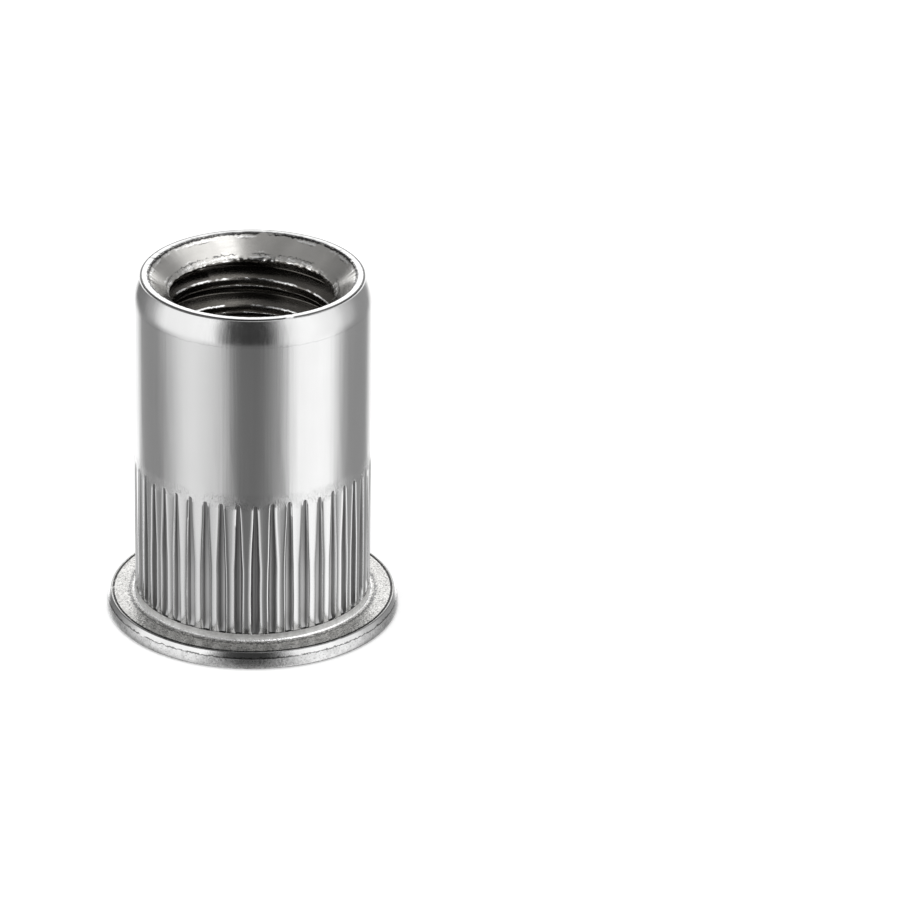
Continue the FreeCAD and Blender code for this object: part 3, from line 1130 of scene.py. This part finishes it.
@dataclass
class RivetNut:
    """The whole nut, one piece of steel. Lengths in millimetres.

    The slacks say how far a face of a zone may lie off the zone's own outline, and the facings how
    far its normal points up or down.
    """

    form: TurnedForm = field(default_factory=TurnedForm)
    thread: TappedThread = field(default_factory=TappedThread)
    knurl: RolledKnurl = field(default_factory=RolledKnurl)
    edges: RaggedEdges = field(default_factory=RaggedEdges)
    lip_depth: float = 0.05
    lip_slack: float = 0.03
    cone_slack: float = 0.02
    bore_slack: float = 0.01
    inner_facing: float = 0.5
    pocket_floor_above: float = 1.0
    flange_fillet_share: float = 0.4
    face_facing: float = 0.9
    bead_start: float = 0.5
    smooth_degrees: float = 32.0
    least_edge: float = 1e-5

    def zone_of(self, centre: Vector, normal: Vector) -> Zone:
        """Return the zone of a face.

        Args:
            centre: the face's centre in millimetres.
            normal: the face's outward direction.

        Returns:
            The zone whose finish the face has.
        """
        form = self.form
        radius = centre.xy.length
        on_lip = radius > form.countersink_radius - self.lip_slack
        if centre.z > form.length - self.lip_depth and on_lip:
            return Zone.LIP
        if self.on_cone(centre, normal):
            return Zone.CONE
        if (radius < self.thread.major_radius + self.cone_slack
                and centre.z > form.counterbore_depth + self.bore_slack):
            return Zone.THREAD
        if self.in_pocket(centre, normal):
            return Zone.POCKET
        flange_top = form.flange_thickness + form.neck_fillet * self.flange_fillet_share
        if centre.z < flange_top and radius > form.barrel_radius:
            if normal.z < -self.face_facing:
                return Zone.FLANGE_FACE
            if radius < form.bead_radius - self.bore_slack:
                return Zone.FLANGE_TOP
            return Zone.FLANGE_BEAD if centre.z > self.bead_start else Zone.FLANGE_WALL
        if centre.z < form.mouth_rounding:
            return Zone.FLANGE_FACE
        return Zone.NECK if centre.z < form.knurl_base else Zone.BARREL

    def on_cone(self, centre: Vector, normal: Vector) -> bool:
        """Tell if a face lies on the countersink.

        Args:
            centre: the face's centre.
            normal: the face's outward direction.

        Returns:
            True for a face of the countersink.
        """
        form = self.form
        base = form.length - form.countersink_depth
        cone_radius = (form.bore_radius + (centre.z - base)
                       * (form.countersink_radius - form.bore_radius) / form.countersink_depth)
        near = abs(centre.xy.length - cone_radius) < self.cone_slack
        return centre.z > base - self.cone_slack and near and normal.z > self.inner_facing

    def in_pocket(self, centre: Vector, normal: Vector) -> bool:
        """Tell if a face lies in the counterbore, on its wall or its floor.

        Args:
            centre: the face's centre.
            normal: the face's outward direction.

        Returns:
            True for a face of the counterbore.
        """
        radius = centre.xy.length
        bore = self.form.counterbore_radius
        outward = normal.xy.dot(centre.xy.normalized())
        on_wall = outward < 0 and radius < bore + self.bore_slack
        faces_down = normal.z < -self.inner_facing
        return on_wall or (radius < bore and faces_down and centre.z > self.pocket_floor_above)

    def paint(self, piece: bpy.types.Object) -> None:
        """Give every face the finish of its zone.

        Args:
            piece: the nut, in millimetres.
        """
        zones = list(Zone)
        for zone in zones:
            piece.data.materials.append(zone.value.dress())
        for face in piece.data.polygons:
            face.material_index = zones.index(self.zone_of(face.center, face.normal))

    def build(self) -> bpy.types.Object:
        """Turn, tap, knurl and dress the nut.

        Returns:
            The finished piece, in metres.
        """
        piece = self.form.spin()
        piece.data.materials.clear()
        self.thread.cut(piece)
        piece.data.materials.clear()
        self.knurl.roll(piece)
        self.paint(piece)
        self.edges.roughen(piece, self.form)
        edit(piece)
        bpy.ops.mesh.select_all(action="SELECT")
        bpy.ops.mesh.dissolve_degenerate(threshold=self.least_edge)
        bpy.ops.mesh.select_all(action="SELECT")
        bpy.ops.mesh.normals_make_consistent(inside=False)
        bpy.ops.transform.resize(value=(MM, MM, MM), center_override=(0, 0, 0))
        leave_edit_mode()
        piece.select_set(True)
        bpy.context.view_layer.objects.active = piece
        bpy.ops.object.shade_smooth_by_angle(angle=math.radians(self.smooth_degrees))
        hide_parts(NODE)
        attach(piece, "root")
        triangles = sum(len(face.vertices) - 2 for face in piece.data.polygons)
        LOG.info("%s: %d triangles", piece.name, triangles)
        return piece


# The studio


WHITE = (1, 1, 1, 1)


@dataclass(frozen=True)
class Panel:
    """Share of the light tent, by its bearing from the camera's side and its brightness."""

    bearing: float
    level: float


@dataclass(frozen=True)
class Studio:
    """Plain pale floor and a soft light tent. Lengths in metres.

    The tent's rounds follow each other upwards. A pair of heights, each the upward share of a
    direction, says where one round passes into the next.
    """

    low_tent: tuple[Panel, ...] = (
        Panel(-180, 1.6), Panel(-150, 1.4), Panel(-134, 0.4), Panel(-106, 0.36), Panel(-64, 1.15),
        Panel(-34, 0.9), Panel(-14, 0.24), Panel(4, 0.23), Panel(24, 0.45), Panel(44, 1.5),
        Panel(74, 1.6), Panel(104, 0.4), Panel(140, 0.38), Panel(158, 1.2), Panel(180, 1.6))
    middle_tent: tuple[Panel, ...] = (
        Panel(-180, 1.7), Panel(-158, 1.6), Panel(-146, 0.22), Panel(-128, 0.3),
        Panel(-112, 0.55), Panel(-92, 1.4), Panel(-40, 1.5), Panel(-29, 0.4), Panel(-22, 0.08),
        Panel(-8, 0.05), Panel(10, 0.05), Panel(18, 0.2), Panel(25, 0.7), Panel(34, 1.4),
        Panel(50, 1.6), Panel(82, 1.35), Panel(98, 0.8), Panel(118, 0.4), Panel(142, 0.4),
        Panel(156, 1.6), Panel(180, 1.7))
    top_tent: tuple[Panel, ...] = (
        Panel(-90, 0.32), Panel(-40, 0.32), Panel(-24, 0.5), Panel(-17, 0.04), Panel(15, 0.04),
        Panel(21, 0.9), Panel(32, 1.5), Panel(50, 1.1), Panel(90, 0.9))
    zenith_tent: tuple[Panel, ...] = (
        Panel(-90, 0.3), Panel(-25, 0.34), Panel(-4, 0.45), Panel(6, 0.7), Panel(14, 2.0),
        Panel(22, 2.0), Panel(30, 1.0), Panel(90, 0.7))
    middle_from: Span = (-0.42, -0.24)
    top_from: Span = (0.5, 0.8)
    zenith_from: Span = (0.86, 0.93)
    tent_strength: float = 2.0
    fill_strength: float = 0.75
    floor_half: float = 2.0
    floor_colour: Colour = (0.8, 0.8, 0.8)
    floor_glow: float = 0.4
    lamp_place: tuple[float, float, float] = (-0.04, -0.03, 0.4)
    lamp_size: float = 0.26
    lamp_watts: float = 0.4

    def add_ramp(self, tree: Tree, bearing: bpy.types.NodeSocket,
                 panels: tuple[Panel, ...]) -> bpy.types.NodeSocket:
        """Add one round of the tent.

        Args:
            tree: the world's node tree.
            bearing: bearing as a share of a turn, with the camera's side at a half.
            panels: the panels of this round.

        Returns:
            The output that holds its brightness, as a share of the tent's strength.
        """
        node = tree.add("ValToRGB", {"Fac": bearing})
        ramp = node.color_ramp
        ramp.interpolation = "EASE"
        while len(ramp.elements) > 1:
            ramp.elements.remove(ramp.elements[-1])
        for index, panel in enumerate(panels):
            place = panel.bearing / 360 + 0.5
            stop = ramp.elements[0] if index == 0 else ramp.elements.new(place)
            stop.position = place
            stop.color = (panel.level / self.tent_strength,) * 3 + (1,)
        return node.outputs["Color"]

    def light_tent(self) -> None:
        """Build the world: a white backdrop, and the tent that the metal mirrors."""
        world = bpy.data.worlds.new("light_tent")
        world.use_nodes = True
        bpy.context.scene.world = world
        tree = Tree(world.node_tree)
        direction = tree.add("TexCoord").outputs["Generated"]
        parts = tree.add("SeparateXYZ", {0: direction})
        back = tree.math("MULTIPLY", parts.outputs[1], -1.0)
        turn = tree.math("ARCTAN2", parts.outputs[0], back)
        bearing = tree.math("MULTIPLY_ADD", turn, 1 / math.tau, 0.5)
        sideways = tree.math("ARCSINE", parts.outputs[0])
        slant = tree.math("MULTIPLY_ADD", sideways, 1 / math.tau, 0.5)
        low = self.add_ramp(tree, bearing, self.low_tent)
        middle = self.add_ramp(tree, bearing, self.middle_tent)
        top = self.add_ramp(tree, slant, self.top_tent)
        zenith = self.add_ramp(tree, slant, self.zenith_tent)
        up = parts.outputs[2]
        tent = tree.blend(tree.span(up, *self.middle_from), low, middle)
        tent = tree.blend(tree.span(up, *self.top_from), tent, top)
        tent = tree.blend(tree.span(up, *self.zenith_from), tent, zenith)
        mirrored = tree.add("Background", {"Color": tent, "Strength": self.tent_strength})
        plain = tree.add("Background", {"Color": WHITE, "Strength": self.fill_strength})
        white = tree.add("Background", {"Color": WHITE, "Strength": 1.0})
        path = tree.add("LightPath")
        glossy = tree.add("MixShader", {0: path.outputs["Is Glossy Ray"], 1: plain.outputs[0],
                                        2: mirrored.outputs[0]})
        seen = tree.math("MAXIMUM", path.outputs["Is Camera Ray"],
                         path.outputs["Is Transmission Ray"])
        final = tree.add("MixShader", {0: seen, 1: glossy.outputs[0], 2: white.outputs[0]})
        tree.add("OutputWorld", {"Surface": final.outputs[0]})

    def lay_floor(self) -> None:
        """Lay the pale floor, which keeps the nut's soft shadow."""
        leave_edit_mode()
        bpy.ops.mesh.primitive_plane_add(size=2 * self.floor_half, location=(0, 0, 0))
        floor = bpy.context.object
        floor.name = "floor"
        material = bpy.data.materials.new("pale_floor")
        material.use_nodes = True
        tree = Tree(material.node_tree)
        paper = tree.add("BsdfDiffuse", {"Color": (*self.floor_colour, 1)})
        glow = tree.add("Emission", {"Color": WHITE, "Strength": self.floor_glow})
        lit = tree.add("AddShader", {0: paper.outputs[0], 1: glow.outputs[0]})
        path = tree.add("LightPath")
        shown = tree.add("MixShader", {0: path.outputs["Is Camera Ray"], 1: paper.outputs[0],
                                       2: lit.outputs[0]})
        clear = tree.add("BsdfTransparent")
        under = tree.add("NewGeometry").outputs["Backfacing"]
        final = tree.add("MixShader", {0: under, 1: shown.outputs[0], 2: clear.outputs[0]})
        tree.add("OutputMaterial", {"Surface": final.outputs[0]})
        floor.data.materials.append(material)
        floor.visible_glossy = False

    def hang_lamp(self) -> None:
        """Hang one soft lamp over the nut, which gives its shadow on the floor."""
        leave_edit_mode()
        bpy.ops.object.light_add(type="AREA", location=self.lamp_place)
        lamp = bpy.context.object
        lamp.name = "soft_lamp"
        lamp.data.shape = "DISK"
        lamp.data.size = self.lamp_size
        lamp.data.energy = self.lamp_watts
        lamp.rotation_euler = (-lamp.location).to_track_quat("-Z", "Y").to_euler()
        lamp.visible_glossy = False

    def build(self) -> None:
        """Set up the tent, the floor and the lamp."""
        self.light_tent()
        self.lay_floor()
        self.hang_lamp()
        bpy.context.scene.view_settings.view_transform = "Standard"
        LOG.info("studio: floor, light tent and one lamp")


@dataclass(frozen=True)
class PictureView:
    """Camera that shows the nut as the picture does. Lengths in millimetres, angles in degrees."""

    bearing: float = -1.36
    elevation: float = 25.5
    distance: float = 230.0
    pixels_per_mm: float = 23.6
    middle_height: float = 7.7
    middle_pixel: Span = (252.6, 440.4)
    clip_metres: Span = (0.01, 20.0)

    def place(self) -> None:
        """Create the camera, turned so that the nut's axis stands upright at its pixel."""
        turn, rise = math.radians(self.bearing), math.radians(self.elevation)
        middle = Vector((0, 0, self.middle_height)) * MM
        away = Vector((math.sin(turn) * math.cos(rise), -math.cos(turn) * math.cos(rise),
                       math.sin(rise)))
        station = middle + away * self.distance * MM
        focal = self.pixels_per_mm * self.distance
        half = PICTURE_WIDTH / 2
        seen = Vector(((self.middle_pixel[0] - half) / focal,
                       (half - self.middle_pixel[1]) / focal, -1)).normalized()

        forward = -away
        side = forward.cross(Vector((0, 0, 1))).normalized()
        seen_side = seen.cross(Vector((0, 1, 0))).normalized()
        world = Matrix((forward, side, forward.cross(side))).transposed()
        local = Matrix((seen, seen_side, seen.cross(seen_side)))
        camera = bpy.data.cameras.new("picture_camera")
        camera.sensor_width = SENSOR_WIDTH
        camera.lens = focal * SENSOR_WIDTH / PICTURE_WIDTH
        camera.clip_start, camera.clip_end = self.clip_metres
        holder = bpy.data.objects.new("picture_camera", camera)
        bpy.context.scene.collection.objects.link(holder)
        holder.matrix_world = Matrix.Translation(station) @ (world @ local).to_4x4()
        bpy.context.scene.camera = holder
        LOG.info("camera: lens %.0f mm", camera.lens)


def main() -> None:
    """Build the nut, the studio and the camera, and note the sizes."""
    logging.basicConfig(level=logging.INFO, format="%(name)s %(message)s")
    for make in (group_places, group_grain, group_marks, group_lines, group_ring_line):
        make()
    RivetNut().build()
    Studio().build()
    PictureView().place()


if __name__ == "__main__":
    main()
